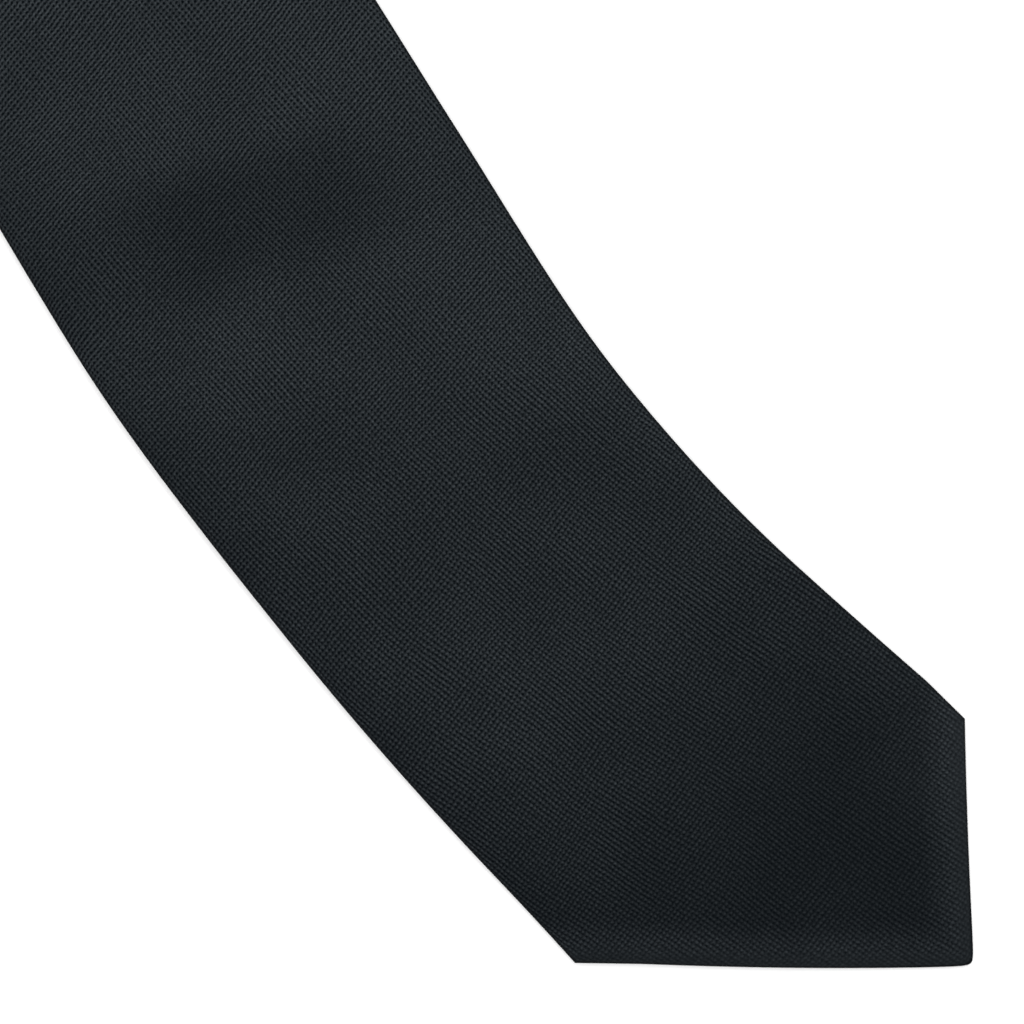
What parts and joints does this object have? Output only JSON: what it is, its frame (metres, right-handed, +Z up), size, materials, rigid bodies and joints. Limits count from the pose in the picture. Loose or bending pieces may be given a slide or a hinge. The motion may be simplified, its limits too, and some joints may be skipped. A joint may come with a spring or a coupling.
{
  "type": "necktie",
  "caption": "Long charcoal woven necktie laid out flat and face up, pointed wide blade and narrow tail folding over the neck piece at its seams, with a keeper loop on the back.",
  "frame": {"origin": "centre of the tie's plan outline, on the plane it rests on", "axes": "+X along the tie's length towards the wide blade's point, +Z up out of the face side, +Y across the tie"},
  "size_m": [1.4718, 0.1164, 0.0055],
  "materials": {
    "shell_cloth": "bias-cut dotted silk weave, charcoal with a cool tint, soft sheen",
    "tipping_satin": "smooth black satin lining",
    "wool_interlining": "brushed undyed wool",
    "label_cloth": "plain woven damask label, blank",
    "thread": "twisted polyester sewing thread"
  },
  "bodies": {
    "neck": {"neck_shell": "shell_cloth", "neck_interlining": "wool_interlining", "neck_slip_stitch": "thread", "blade_seam_stitches": "thread", "tail_seam_stitches": "thread"},
    "blade": {"blade_shell": "shell_cloth", "blade_tipping": "tipping_satin", "blade_interlining": "wool_interlining", "blade_slip_stitch": "thread", "blade_bar_tack": "thread", "blade_tip_stitch": "thread", "keeper_loop": "shell_cloth", "keeper_stitches": "thread", "maker_label": "label_cloth", "maker_label_stitches": "thread"},
    "tail": {"tail_shell": "shell_cloth", "tail_tipping": "tipping_satin", "tail_interlining": "wool_interlining", "tail_slip_stitch": "thread", "tail_bar_tack": "thread", "tail_tip_stitch": "thread", "care_label": "label_cloth", "care_label_stitches": "thread"}
  },
  "joints": [
    {"name": "blade_fold", "type": "hinge", "parent": "neck", "child": "blade", "pos_m": [0.0025, 0.04109, 0.0068], "axis": [0, -1, 0], "range_deg": [0, 179.9]},
    {"name": "tail_fold", "type": "hinge", "parent": "neck", "child": "tail", "pos_m": [-0.25738, 0.03429, 0.0043], "axis": [-0.1045, 0.9945, 0], "range_deg": [0, 179.9]}
  ]
}
